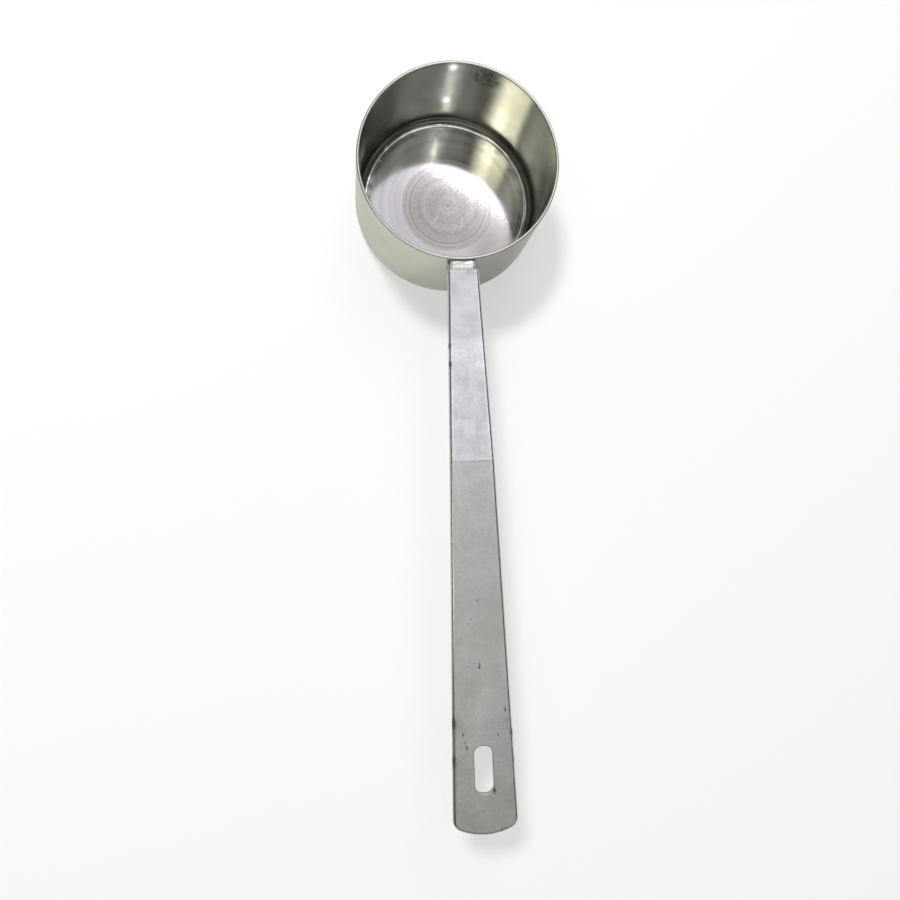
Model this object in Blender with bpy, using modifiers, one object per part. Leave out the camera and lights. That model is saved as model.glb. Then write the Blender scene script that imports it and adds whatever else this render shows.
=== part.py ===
"""Measuring cup: a drawn steel cup and one long strap handle, folded down its wall and welded on.

Metres, +Z up. The origin is the middle of the cup's flat base, and the handle points to -Y.
"""

import math

import bmesh
import bpy
from mathutils import Matrix, Vector

# Cup, drawn from one disc
CUP_DIAMETER = 0.0630
CUP_HEIGHT = 0.0415
CUP_SHEET = 0.0010
CUP_BASE_RADIUS = 0.0038
RIM_EDGE_RADIUS = 0.00035

# Strap, stamped from one strip
STRAP_SHEET = 0.0020
STRAP_EDGE_RADIUS = 0.0009
NECK_WIDTH = 0.0098
CREASE_WIDTH = 0.0136
END_WIDTH = 0.0196
END_ARC_RADIUS = 0.0190
END_CORNER_RADIUS = 0.0036

# Lie of the strap: folded up from its tab, rising to the crease and falling past it
TAB_LENGTH = 0.0130
TAB_FOOT_WIDTH = 0.0064
TAB_CORNER_RADIUS = 0.0020
FOLD_INSIDE_RADIUS = 0.0018
TOP_BELOW_RIM = 0.0005
RISE_DEGREES = 1.5
CREASE_FROM_WALL = 0.0614
CREASE_INSIDE_RADIUS = 0.0100
DROOP_DEGREES = 2.5
CREASE_TO_TIP = 0.1111

# Hanging slot
SLOT_WIDTH = 0.0056
SLOT_LENGTH = 0.0141
SLOT_CORNER_RADIUS = 0.0023
SLOT_TO_TIP = 0.0122

# Weld beads, one in the groove over the fold and one under the tab's foot
TOP_BEAD_LENGTH = 0.0088
TOP_BEAD_BELOW_STRAP = 0.0006
TOP_BEAD_CROWN = 0.00015
TOP_BEAD_BLUNTING_DEGREES = 8.0
FOOT_BEAD_LENGTH = 0.0046
FOOT_BEAD_LEG = 0.0012

# Clearance kept between pieces that touch
SEAT_GAP = 0.0003

# Fineness of the round stretches
TURNED_STEPS = 96
ARC_STEPS = 6
EDGE_STEPS = 2
FOLD_STEPS = 10
CREASE_STEPS = 3
TAB_STRIPS = 6
BEAD_STEPS = 8

# Sizes that follow from those above
WALL_RADIUS = CUP_DIAMETER / 2
HALF_SHEET = STRAP_SHEET / 2
RISE = math.radians(RISE_DEGREES)
DROOP = math.radians(DROOP_DEGREES)
FOLD_TURN = math.pi / 2 - RISE
FOLD_RADIUS = FOLD_INSIDE_RADIUS + HALF_SHEET
CREASE_TURN = RISE + DROOP
CREASE_RADIUS = CREASE_INSIDE_RADIUS + HALF_SHEET
CREASE_LENGTH = CREASE_RADIUS * CREASE_TURN
FOLD_LENGTH = FOLD_RADIUS * FOLD_TURN
FOLD_REACH = SEAT_GAP + HALF_SHEET + FOLD_RADIUS * (1 - math.sin(RISE))
INNER_RUN = (CREASE_FROM_WALL - FOLD_REACH) / math.cos(RISE) - CREASE_LENGTH / 2
OUTER_RUN = CREASE_TO_TIP - CREASE_LENGTH / 2
FOLD_END = TAB_LENGTH + FOLD_LENGTH
CREASE_START = FOLD_END + INNER_RUN
CREASE_MIDDLE = CREASE_START + CREASE_LENGTH / 2
STRAP_END = CREASE_START + CREASE_LENGTH + OUTER_RUN
TAB_FOOT_HEIGHT = CUP_HEIGHT - TOP_BELOW_RIM - (HALF_SHEET + FOLD_RADIUS) * math.cos(RISE) - TAB_LENGTH

# Stretches of the strap from the tab's foot to its tip: the length of each and how far it bends down
STRETCHES = [
    (TAB_LENGTH, 0.0),
    (FOLD_LENGTH, FOLD_TURN),
    (INNER_RUN, 0.0),
    (CREASE_LENGTH, CREASE_TURN),
    (OUTER_RUN, 0.0),
]


def clear_scene():
    """Remove every object of the file that the script is run in."""
    for leftover in list(bpy.data.objects):
        bpy.data.objects.remove(leftover)


def steel(name, colour, roughness):
    """Bare stainless steel of one finish."""
    material = bpy.data.materials.new(name)
    material.use_nodes = True
    shader = material.node_tree.nodes["Principled BSDF"]
    shader.inputs["Base Color"].default_value = (*colour, 1.0)
    shader.inputs["Metallic"].default_value = 1.0
    shader.inputs["Roughness"].default_value = roughness
    return material


def arc(centre, radius, start, end, steps=ARC_STEPS):
    """Points along a round stretch between two angles in degrees."""
    points = []
    for step in range(steps + 1):
        angle = math.radians(start + (end - start) * step / steps)
        points.append((centre[0] + radius * math.cos(angle), centre[1] + radius * math.sin(angle)))
    return points


def settled_mesh(source):
    """Mesh of an object with its modifiers or its curve worked out; the object is removed."""
    bpy.context.view_layer.update()
    evaluated = source.evaluated_get(bpy.context.evaluated_depsgraph_get())
    mesh = bpy.data.meshes.new_from_object(evaluated)
    bpy.data.objects.remove(source)
    return mesh


def add_part(name, mesh, material, collection, parent, height=0.0):
    """Finished object of one sub-part, at a height on the cup's axis."""
    mesh.name = name
    mesh.materials.clear()
    mesh.materials.append(material)
    mesh.shade_smooth()
    mesh.set_sharp_from_angle(angle=math.radians(30))
    part = bpy.data.objects.new(name, mesh)
    part.location = (0.0, 0.0, height)
    part.parent = parent
    collection.objects.link(part)
    return part


def face_outward(shape):
    """Turn every face of a closed shape outward."""
    bmesh.ops.recalc_face_normals(shape, faces=shape.faces)
    if shape.calc_volume(signed=True) < 0:
        bmesh.ops.reverse_faces(shape, faces=shape.faces)


def cup_profile():
    """Half section of the cup, from the floor's middle over the rim to the base's middle."""
    inner = WALL_RADIUS - CUP_SHEET
    corner = (WALL_RADIUS - CUP_BASE_RADIUS, CUP_BASE_RADIUS)
    rim_level = CUP_HEIGHT - RIM_EDGE_RADIUS
    points = [(0.0, CUP_SHEET)]
    points += arc(corner, CUP_BASE_RADIUS - CUP_SHEET, -90, 0)
    points += arc((inner + RIM_EDGE_RADIUS, rim_level), RIM_EDGE_RADIUS, 180, 90, EDGE_STEPS)
    points += arc((WALL_RADIUS - RIM_EDGE_RADIUS, rim_level), RIM_EDGE_RADIUS, 90, 0, EDGE_STEPS)
    points += arc(corner, CUP_BASE_RADIUS, 0, -90)
    points.append((0.0, 0.0))
    return points


def cup_mesh(collection):
    """Cup turned from its profile."""
    points = cup_profile()
    outline = bpy.data.meshes.new("cup_profile")
    links = [(index, index + 1) for index in range(len(points) - 1)]
    outline.from_pydata([(x, 0.0, z) for x, z in points], links, [])
    turned = bpy.data.objects.new("cup_profile", outline)
    collection.objects.link(turned)
    screw = turned.modifiers.new("turn", "SCREW")
    screw.steps = TURNED_STEPS
    screw.render_steps = TURNED_STEPS
    screw.use_merge_vertices = True
    screw.merge_threshold = 0.00001
    return settled_mesh(turned)


def blank_outline():
    """Outline of the flat strap, across and along it, from the tab's foot to the tip and back."""
    neck = NECK_WIDTH / 2
    foot_across = TAB_FOOT_WIDTH / 2 - TAB_CORNER_RADIUS
    foot_flare = math.degrees(math.atan2(neck - TAB_FOOT_WIDTH / 2, TAB_LENGTH - TAB_CORNER_RADIUS))
    foot = arc((foot_across, TAB_CORNER_RADIUS), TAB_CORNER_RADIUS, -90, -foot_flare)
    corner_across = END_WIDTH / 2 - END_CORNER_RADIUS
    arc_centre = STRAP_END - END_ARC_RADIUS
    corner_rise = math.sqrt((END_ARC_RADIUS - END_CORNER_RADIUS) ** 2 - corner_across ** 2)
    corner = (corner_across, arc_centre + corner_rise)
    flare = math.degrees(math.atan2((END_WIDTH - CREASE_WIDTH) / 2, corner[1] - CREASE_MIDDLE))
    turn = math.degrees(math.atan2(corner_rise, corner_across))
    side = foot + [(neck, TAB_LENGTH), (neck, FOLD_END), (CREASE_WIDTH / 2, CREASE_MIDDLE)]
    side += arc(corner, END_CORNER_RADIUS, -flare, turn)
    side += arc((0.0, arc_centre), END_ARC_RADIUS, turn, 90)[1:]
    other_side = [(-across, along) for across, along in reversed(side[:-1])]
    return side + other_side


def slot_outline():
    """Outline of the hanging slot, run round the other way to mark a hole."""
    across = SLOT_WIDTH / 2 - SLOT_CORNER_RADIUS
    far = STRAP_END - SLOT_TO_TIP - SLOT_CORNER_RADIUS
    near = STRAP_END - SLOT_TO_TIP - SLOT_LENGTH + SLOT_CORNER_RADIUS
    corners = [(across, far, 90), (across, near, 0), (-across, near, -90), (-across, far, -180)]
    points = []
    for corner_across, corner_along, start in corners:
        points += arc((corner_across, corner_along), SLOT_CORNER_RADIUS, start, start - 90, ARC_STEPS // 2)
    return points


def flat_blank(collection):
    """Flat strap with its slot and its rounded edges."""
    outline = bpy.data.curves.new("strap_outline", "CURVE")
    outline.dimensions = "2D"
    outline.fill_mode = "BOTH"
    outline.extrude = HALF_SHEET - STRAP_EDGE_RADIUS
    outline.bevel_depth = STRAP_EDGE_RADIUS
    outline.bevel_resolution = EDGE_STEPS - 1
    outline.offset = -STRAP_EDGE_RADIUS
    for points in (blank_outline(), slot_outline()):
        spline = outline.splines.new("POLY")
        spline.points.add(len(points) - 1)
        spline.use_cyclic_u = True
        for place, (across, along) in zip(spline.points, points):
            place.co = (across, along, 0.0, 1.0)
    blank = bpy.data.objects.new("strap_outline", outline)
    collection.objects.link(blank)
    return settled_mesh(blank)


def cut_lines():
    """Distances along the strap where its sheet bends."""
    fold = [TAB_LENGTH + FOLD_LENGTH * step / FOLD_STEPS for step in range(FOLD_STEPS + 1)]
    crease = [CREASE_START + CREASE_LENGTH * step / CREASE_STEPS for step in range(CREASE_STEPS + 1)]
    return fold + crease


def along_strap(distance):
    """Middle of the sheet at a distance from the tab's foot: outward, upward and heading."""
    outward = WALL_RADIUS + SEAT_GAP + HALF_SHEET
    upward = 0.0
    heading = math.pi / 2
    for length, turn in STRETCHES:
        step = min(distance, length)
        if turn:
            radius = length / turn
            turned = heading - step / radius
            outward += radius * (math.sin(heading) - math.sin(turned))
            upward += radius * (math.cos(turned) - math.cos(heading))
            heading = turned
        else:
            outward += step * math.cos(heading)
            upward += step * math.sin(heading)
        distance -= step
        if distance <= 0:
            break
    return outward, upward, heading


def folded(place):
    """Place on the finished handle of a point of the flat strap (across, along, through).

    The tab lies round the cup's wall, and the strap flattens again over the fold.
    """
    outward, upward, heading = along_strap(place.y)
    outward -= place.z * math.sin(heading)
    upward += place.z * math.cos(heading)
    share = max(0.0, (heading - RISE) / FOLD_TURN)
    hug = share * share * (3 - 2 * share)
    angle = place.x / outward
    across = (1 - hug) * place.x + hug * outward * math.sin(angle)
    reach = outward * (1 - hug + hug * math.cos(angle))
    return Vector((across, -reach, upward))


def handle_mesh(collection):
    """Flat strap cut at its bend lines and folded to shape."""
    blank = flat_blank(collection)
    sheet = bmesh.new()
    sheet.from_mesh(blank)
    bmesh.ops.remove_doubles(sheet, verts=sheet.verts, dist=0.000001)
    for distance in cut_lines():
        everything = sheet.verts[:] + sheet.edges[:] + sheet.faces[:]
        bmesh.ops.bisect_plane(sheet, geom=everything, plane_co=(0, distance, 0), plane_no=(0, 1, 0))
    for strip in range(1, TAB_STRIPS):
        across = NECK_WIDTH * (strip / TAB_STRIPS - 0.5)
        faces = [face for face in sheet.faces if face.calc_center_median().y < FOLD_END]
        edges = {edge for face in faces for edge in face.edges}
        verts = {vert for face in faces for vert in face.verts}
        tab = list(verts) + list(edges) + faces
        bmesh.ops.bisect_plane(sheet, geom=tab, plane_co=(across, 0, 0), plane_no=(1, 0, 0))
    for vert in sheet.verts:
        vert.co = folded(vert.co)
    face_outward(sheet)
    sheet.to_mesh(blank)
    sheet.free()
    return blank


def groove_section():
    """Section of the upper bead between the wall and the fold: distances from the axis and heights."""
    wall = WALL_RADIUS + SEAT_GAP
    bend = FOLD_INSIDE_RADIUS + STRAP_SHEET
    bend_height = TAB_FOOT_HEIGHT + TAB_LENGTH
    lowest = math.acos(bend / (bend + SEAT_GAP)) + math.radians(TOP_BEAD_BLUNTING_DEGREES)
    highest = math.asin((bend - TOP_BEAD_BELOW_STRAP) / (bend + SEAT_GAP))
    start, stop = 180 - math.degrees(lowest), 180 - math.degrees(highest)
    against_fold = arc((wall + bend, bend_height), bend + SEAT_GAP, start, stop)
    foot, top = against_fold[0], against_fold[-1]
    crown = ((wall + top[0]) / 2, top[1] + TOP_BEAD_CROWN)
    return against_fold + [crown, (wall, top[1]), (wall, foot[1])]


def top_bead_mesh():
    """Weld bead in the groove over the fold, swept round the wall."""
    section = groove_section()
    mesh = bpy.data.meshes.new("top_bead")
    bead = bmesh.new()
    stations = []
    for step in range(BEAD_STEPS + 1):
        angle = TOP_BEAD_LENGTH * (step / BEAD_STEPS - 0.5) / WALL_RADIUS
        stations.append([
            bead.verts.new((outward * math.sin(angle), -outward * math.cos(angle), height))
            for outward, height in section
        ])
    bead.faces.new(stations[0])
    bead.faces.new(stations[-1])
    for near, far in zip(stations, stations[1:]):
        for index in range(len(section)):
            bead.faces.new((near[index - 1], near[index], far[index], far[index - 1]))
    face_outward(bead)
    bead.to_mesh(mesh)
    bead.free()
    return mesh


def foot_bead_mesh():
    """Quarter-round weld bead in the corner of the tab's foot and the wall, with tapered ends."""
    bead = bmesh.new()
    lengthen = Matrix.Diagonal((FOOT_BEAD_LENGTH / 2, FOOT_BEAD_LEG, FOOT_BEAD_LEG, 1.0))
    lay_across = Matrix.Rotation(math.radians(90), 4, "Y")
    bmesh.ops.create_uvsphere(
        bead, u_segments=16, v_segments=12, radius=1.0, matrix=lengthen @ lay_across
    )
    for normal in ((0, -1, 0), (0, 0, -1)):
        everything = bead.verts[:] + bead.edges[:] + bead.faces[:]
        bmesh.ops.bisect_plane(
            bead, geom=everything, plane_co=(0, 0, 0), plane_no=normal, clear_inner=True
        )
        bmesh.ops.holes_fill(bead, edges=bead.edges, sides=0)
    for vert in bead.verts:
        vert.co = folded(vert.co + Vector((0.0, -SEAT_GAP, HALF_SHEET)))
    face_outward(bead)
    mesh = bpy.data.meshes.new("foot_bead")
    bead.to_mesh(mesh)
    bead.free()
    return mesh


def build():
    """Cup, handle and weld beads, under one empty at the cup's base."""
    clear_scene()
    collection = bpy.data.collections.new("measuring_cup")
    bpy.context.scene.collection.children.link(collection)
    frame = bpy.data.objects.new("measuring_cup_frame", None)
    collection.objects.link(frame)
    cup_steel = steel("polished_cup_steel", (0.62, 0.62, 0.57), 0.12)
    strap_steel = steel("tumbled_strap_steel", (0.60, 0.60, 0.61), 0.38)
    weld_steel = steel("weld_steel", (0.58, 0.57, 0.54), 0.45)
    add_part("cup", cup_mesh(collection), cup_steel, collection, frame)
    add_part("handle", handle_mesh(collection), strap_steel, collection, frame, TAB_FOOT_HEIGHT)
    add_part("weld_bead_top", top_bead_mesh(), weld_steel, collection, frame)
    add_part("weld_bead_foot", foot_bead_mesh(), weld_steel, collection, frame, TAB_FOOT_HEIGHT)


build()
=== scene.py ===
"""Measuring cup: a polished drawn cup with a long satin strap handle folded down its wall and welded on.

Metres, +Z up. The origin is the middle of the cup's flat base, and the handle points to -Y.
"""

import math

import bmesh
import bpy
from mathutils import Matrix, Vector


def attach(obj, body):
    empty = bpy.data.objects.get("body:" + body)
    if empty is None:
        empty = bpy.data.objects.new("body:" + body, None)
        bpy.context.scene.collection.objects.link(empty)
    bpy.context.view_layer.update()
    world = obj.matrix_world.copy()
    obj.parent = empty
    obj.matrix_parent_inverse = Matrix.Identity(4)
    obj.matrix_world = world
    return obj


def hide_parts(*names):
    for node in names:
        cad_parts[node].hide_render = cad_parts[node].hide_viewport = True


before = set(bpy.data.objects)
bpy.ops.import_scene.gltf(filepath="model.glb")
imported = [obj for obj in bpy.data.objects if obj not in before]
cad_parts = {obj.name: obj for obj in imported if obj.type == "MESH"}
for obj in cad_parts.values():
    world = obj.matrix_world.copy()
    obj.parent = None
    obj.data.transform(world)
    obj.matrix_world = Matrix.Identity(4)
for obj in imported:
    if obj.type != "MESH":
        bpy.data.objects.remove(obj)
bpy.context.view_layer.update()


# Cup
# One disc of stainless steel, drawn over a punch into a straight-walled cup with a rounded bottom
# corner. The floor is turned bright in fine rings and the wall is polished round and round.

CUP_RADIUS = 0.0315
CUP_HEIGHT = 0.0415
CUP_SHEET = 0.0010
INSIDE_RADIUS = CUP_RADIUS - CUP_SHEET
CUP_CORNER = 0.0038
CUP_SIDES = 192
CORNER_STEPS = 12
RIM_ROUNDING = 0.00035
RIM_STEPS = 4
TURNED_RADIUS = 0.0158
TURNED_DEPTH = 0.00001
FLOOR_RINGS = (0.0256, 0.0200, 0.0162, 0.0160, 0.0156, 0.0154, 0.0090, 0.0030)
SMOOTH_ANGLE = math.radians(38)
NEAR = 0.0001
TOUCHING = 0.00001


def pick(part, kind, passes):
    """Select the corners, edges or faces of a part in edit mode whose every corner passes a test."""
    bpy.ops.mesh.select_mode(type=kind)
    bpy.ops.mesh.select_all(action="DESELECT")
    shape = bmesh.from_edit_mesh(part.data)
    if kind == "VERT":
        for corner in shape.verts:
            corner.select_set(passes(corner.co))
    else:
        for item in shape.edges if kind == "EDGE" else shape.faces:
            item.select_set(all(passes(corner.co) for corner in item.verts))
    shape.select_flush_mode()
    bmesh.update_edit_mesh(part.data)


def pick_edges(part, passes):
    """Select the edges of a part in edit mode whose two ends pass a test together."""
    bpy.ops.mesh.select_mode(type="EDGE")
    bpy.ops.mesh.select_all(action="DESELECT")
    shape = bmesh.from_edit_mesh(part.data)
    for edge in shape.edges:
        edge.select_set(passes(edge.verts[0].co, edge.verts[1].co))
    bmesh.update_edit_mesh(part.data)


def choose(part):
    """Select one part alone."""
    bpy.ops.object.select_all(action="DESELECT")
    part.select_set(True)
    bpy.context.view_layer.objects.active = part


def start_shaping(part):
    """Go into edit mode on one part alone."""
    choose(part)
    bpy.ops.object.mode_set(mode="EDIT")


def apply_modifier(part, kind, **settings):
    """Give a part one modifier and apply it."""
    modifier = part.modifiers.new(kind.lower(), kind)
    for setting, value in settings.items():
        setattr(modifier, setting, value)
    bpy.context.view_layer.objects.active = part
    bpy.ops.object.modifier_apply(modifier=modifier.name)


def finish_part(part, cad_node):
    """Smooth shading kept flat on flat faces, and the part's place in the frame."""
    choose(part)
    bpy.ops.object.shade_smooth_by_angle(angle=SMOOTH_ANGLE)
    apply_modifier(part, "WEIGHTED_NORMAL", keep_sharp=True)
    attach(part, "root")
    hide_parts(cad_node)


def off_axis(place):
    """Distance of a place from the cup's axis."""
    return math.hypot(place.x, place.y)


# A cylinder is opened, its base is rounded and ringed, and then it gets the thickness of its sheet
bpy.ops.object.select_all(action="DESELECT")
bpy.ops.mesh.primitive_cylinder_add(
    vertices=CUP_SIDES,
    radius=CUP_RADIUS,
    depth=CUP_HEIGHT,
    end_fill_type="NGON",
    location=(0, 0, CUP_HEIGHT / 2),
)
cup = bpy.context.object
cup.name = "drawn_cup"
bpy.ops.object.transform_apply(location=True, rotation=False, scale=False)
start_shaping(cup)
pick(cup, "FACE", lambda place: place.z > CUP_HEIGHT - NEAR)
bpy.ops.mesh.delete(type="ONLY_FACE")
pick(cup, "EDGE", lambda place: place.z < NEAR)
bpy.ops.mesh.bevel(offset=CUP_CORNER, segments=CORNER_STEPS, profile=0.5, affect="EDGES")
pick(cup, "FACE", lambda place: place.z < TOUCHING)
edge_of_floor = CUP_RADIUS - CUP_CORNER
for ring in FLOOR_RINGS:
    bpy.ops.mesh.inset(thickness=edge_of_floor - ring, depth=0.0)
    edge_of_floor = ring
bpy.ops.mesh.poke()
bpy.ops.object.mode_set(mode="OBJECT")
apply_modifier(
    cup,
    "SOLIDIFY",
    thickness=CUP_SHEET,
    offset=-1.0,
    use_even_offset=True,
    use_quality_normals=True,
)

# The rim's two edges are rounded, and the middle of the floor is turned a little deeper
start_shaping(cup)
pick_edges(
    cup,
    lambda start, end: min(start.z, end.z) > CUP_HEIGHT - TOUCHING
    and abs(off_axis(start) - off_axis(end)) < CUP_SHEET / 2,
)
bpy.ops.mesh.bevel(offset=RIM_ROUNDING, segments=RIM_STEPS, profile=0.5, affect="EDGES")
pick(cup, "VERT", lambda place: place.z > CUP_SHEET / 2 and off_axis(place) < TURNED_RADIUS)
bpy.ops.transform.translate(value=(0, 0, -TURNED_DEPTH))
bpy.ops.object.mode_set(mode="OBJECT")


def node(tree, kind, inputs=None, **settings):
    """Shader node with its settings, and with values or links for its inputs."""
    made = tree.nodes.new(kind)
    for setting, value in settings.items():
        setattr(made, setting, value)
    for socket, value in (inputs or {}).items():
        if isinstance(value, bpy.types.NodeSocket):
            tree.links.new(value, made.inputs[socket])
        else:
            made.inputs[socket].default_value = value
    return made


def ease(tree, value, low, high, start=0.0, end=1.0):
    """Value eased from start, at low, to end, at high."""
    eased = node(
        tree,
        "ShaderNodeMapRange",
        {"Value": value, "From Min": low, "From Max": high, "To Min": start, "To Max": end},
        interpolation_type="SMOOTHSTEP",
    )
    return eased.outputs["Result"]


def maths(tree, operation, first, second=0.0):
    """Result of one sum on two values."""
    return node(tree, "ShaderNodeMath", {0: first, 1: second}, operation=operation).outputs[0]


def product(tree, first, *others):
    """Values multiplied together."""
    for other in others:
        first = maths(tree, "MULTIPLY", first, other)
    return first


def total(tree, first, *others):
    """Values added together."""
    for other in others:
        first = maths(tree, "ADD", first, other)
    return first


def apart(tree, value, level):
    """How far a value is from a level, above or below."""
    return maths(tree, "ABSOLUTE", maths(tree, "SUBTRACT", value, level))


def blend(tree, share, first, second):
    """Colour between two colours."""
    mixed = node(tree, "ShaderNodeMix", {0: share, 6: first, 7: second}, data_type="RGBA")
    return mixed.outputs[2]


def grain(tree, place, scale, detail=3.0, roughness=0.55, distortion=0.0):
    """Noise over places in space."""
    noise = node(
        tree,
        "ShaderNodeTexNoise",
        {"Vector": place, "Scale": scale, "Detail": detail, "Roughness": roughness, "Distortion": distortion},
    )
    return noise.outputs[0]


def lines(tree, along, scale, detail=3.0, roughness=0.6):
    """Noise that changes along one value only, for tool marks."""
    noise = node(
        tree,
        "ShaderNodeTexNoise",
        {"W": along, "Scale": scale, "Detail": detail, "Roughness": roughness},
        noise_dimensions="1D",
    )
    return noise.outputs[0]


def stretched(tree, place, scale):
    """Places with each direction scaled."""
    return node(tree, "ShaderNodeVectorMath", {0: place, 1: scale}, operation="MULTIPLY").outputs[0]


def shifted(tree, place, centre):
    """Places measured from another centre."""
    return node(tree, "ShaderNodeVectorMath", {0: place, 1: centre}, operation="SUBTRACT").outputs[0]


def distance(tree, place, centre=(0, 0, 0), scale=(1, 1, 1)):
    """Distance of places from a centre, with each direction scaled."""
    arrow = stretched(tree, shifted(tree, place, centre), scale)
    return node(tree, "ShaderNodeVectorMath", {0: arrow}, operation="LENGTH").outputs["Value"]


def far_along(tree, place, way):
    """How far places lie along a direction."""
    return node(tree, "ShaderNodeVectorMath", {0: place, 1: way}, operation="DOT_PRODUCT").outputs["Value"]


def embossed(tree, relief, strength, depth, below=None):
    """Surface with a relief on it, over the relief below."""
    bump = node(tree, "ShaderNodeBump", {"Height": relief, "Strength": strength, "Distance": depth})
    if below is not None:
        tree.links.new(below, bump.inputs["Normal"])
    return bump.outputs[0]


STEEL_EDGE_TINT = (0.75, 0.76, 0.72, 1)


def new_steel(name):
    """Material of bare steel: its node tree, its shader and the object's own places."""
    material = bpy.data.materials.new(name)
    material.use_nodes = True
    tree = material.node_tree
    shader = tree.nodes["Principled BSDF"]
    shader.inputs["Metallic"].default_value = 1.0
    shader.inputs["Specular Tint"].default_value = STEEL_EDGE_TINT
    place = node(tree, "ShaderNodeTexCoord").outputs["Object"]
    return material, tree, shader, place


def finish_steel(tree, shader, colour, rough, surface):
    """Give a steel its colour, roughness and relief."""
    tree.links.new(colour, shader.inputs["Base Color"])
    tree.links.new(rough, shader.inputs["Roughness"])
    tree.links.new(surface, shader.inputs["Normal"])


# Tints of the cup's steel, and painted shade, highlight and reflection on it
DEEP_OLIVE = (0.56, 0.57, 0.50, 1)
PALE_OLIVE = (0.67, 0.675, 0.615, 1)
OLIVE_SMUDGES = (0.45, 0.455, 0.41, 1)
OLIVE_LINES = (0.50, 0.51, 0.46, 1)
DEEP_OUTSIDE = (0.60, 0.61, 0.54, 1)
PALE_OUTSIDE = (0.66, 0.67, 0.60, 1)
OUTSIDE_LINES = (0.46, 0.47, 0.42, 1)
PAINTED_SHADE_BY_HANDLE = (0.34, 0.34, 0.33, 1)
DEEP_LILAC = (0.655, 0.635, 0.66, 1)
PALE_LILAC = (0.725, 0.705, 0.735, 1)
DEEP_BROWN = (0.40, 0.37, 0.355, 1)
PALE_BROWN = (0.53, 0.505, 0.50, 1)
BROWN_SPECKLE = (0.62, 0.60, 0.61, 1)
BROWN_RINGS = (0.35, 0.34, 0.33, 1)
BEIGE = (0.50, 0.475, 0.465, 1)
SCRATCHED = (0.78, 0.77, 0.78, 1)
PAINTED_SHADE_IN_BEND = (0.28, 0.28, 0.26, 1)
GROUND_RIM = (0.42, 0.42, 0.39, 1)
PAINTED_DARK_REFLECTION = (0.20, 0.20, 0.18, 1)
PAINTED_GLINT = (0.90, 0.90, 0.87, 1)
DULLED = (0.34, 0.34, 0.32, 1)

# Marks on the cup and spots of painted light. A turned ring has its radius, tint, half width and strength, a
# scratch its two ends on the floor, and a glint spot its place and size.
RING_CENTRE = (0.0009, -0.0005, 0.0)
RING_WOBBLE = 0.0006
TURNED_RINGS = (
    (0.0160, (0.33, 0.32, 0.31, 1), 0.00030, 0.50),
    (0.0154, (0.62, 0.58, 0.57, 1), 0.00030, 0.45),
    (0.0148, (0.37, 0.35, 0.34, 1), 0.00030, 0.35),
    (0.0135, (0.32, 0.33, 0.28, 1), 0.00030, 0.50),
    (0.0122, (0.41, 0.42, 0.45, 1), 0.00110, 0.40),
    (0.0062, (0.36, 0.36, 0.35, 1), 0.00025, 0.15),
    (0.0018, (0.33, 0.32, 0.31, 1), 0.00030, 0.18),
    (0.0004, (0.28, 0.27, 0.26, 1), 0.00040, 0.60),
)
RUBBED_WAY = (0.54, 0.84, 0)
BEIGE_WAY = (0.90, -0.44, 0)
BACK_RIGHT_WAY = (0.6, 0.8, 0)
SCRATCHES = (((-0.0026, -0.0042), (-0.0045, -0.0066)), ((0.0057, -0.0042), (0.0055, -0.0086)))
SCRATCH_HALF_WIDTH = 0.00022
DARK_REFLECTION_PLACE = (0.0108, 0.0285, 0.0355)
GLINT_SPOTS = (
    ((-0.0003, 0.0305, 0.0388), 0.0026),
    ((-0.0003, 0.0305, 0.0165), 0.0028),
    ((-0.0035, 0.0188, 0.0010), 0.0022),
)
DULL_PLACE = (-0.0014, 0.0246, 0.0010)

cup_steel, tree, shader, place = new_steel("polished_cup_steel")
parts = node(tree, "ShaderNodeSeparateXYZ", {0: place})
height = parts.outputs["Z"]
radius = distance(tree, place, scale=(1, 1, 0))
wobble = grain(tree, place, 90, 2.0)
ring_radius = distance(tree, place, RING_CENTRE, (1, 1, 0))
ring_place = total(tree, ring_radius, product(tree, wobble, RING_WOBBLE))
in_cup = ease(tree, radius, INSIDE_RADIUS + 0.0007, INSIDE_RADIUS + 0.0003)
in_cup = product(tree, in_cup, ease(tree, height, CUP_SHEET - 0.0006, CUP_SHEET - 0.0003))
on_floor = product(tree, in_cup, ease(tree, height, CUP_SHEET + 0.0006, CUP_SHEET + 0.0001))
on_wall = ease(tree, radius, INSIDE_RADIUS - 0.0007, INSIDE_RADIUS - 0.0002)
on_wall = product(tree, on_wall, ease(tree, height, 0.0035, 0.0060))
outer_face = ease(tree, radius, CUP_RADIUS - 0.0006, CUP_RADIUS - 0.0002)
on_outside = product(tree, outer_face, ease(tree, height, 0.0030, 0.0045))
under = ease(tree, height, 0.0004, 0.0001)
fine_rings = lines(tree, ring_place, 2600, 4.0, 0.7)
broad_rings = lines(tree, ring_place, 520, 2.0)
wall_lines = lines(tree, height, 1500, 4.0, 0.75)
clouds = grain(tree, place, 70, 4.0)
speckle = grain(tree, place, 1500, 3.0, 0.75)

# Wiping has rubbed the turned rings bright again on one side, with a speckled edge
rubbed = total(
    tree,
    far_along(tree, place, RUBBED_WAY),
    product(tree, total(tree, speckle, -0.5), 0.016),
    product(tree, total(tree, clouds, -0.5), 0.006),
)
unrubbed = ease(tree, rubbed, 0.0050, 0.0088, 1.0, 0.0)
turned = ease(tree, ring_radius, TURNED_RADIUS + 0.0002, TURNED_RADIUS - 0.0003)
turned = product(tree, turned, on_floor, unrubbed)

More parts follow.
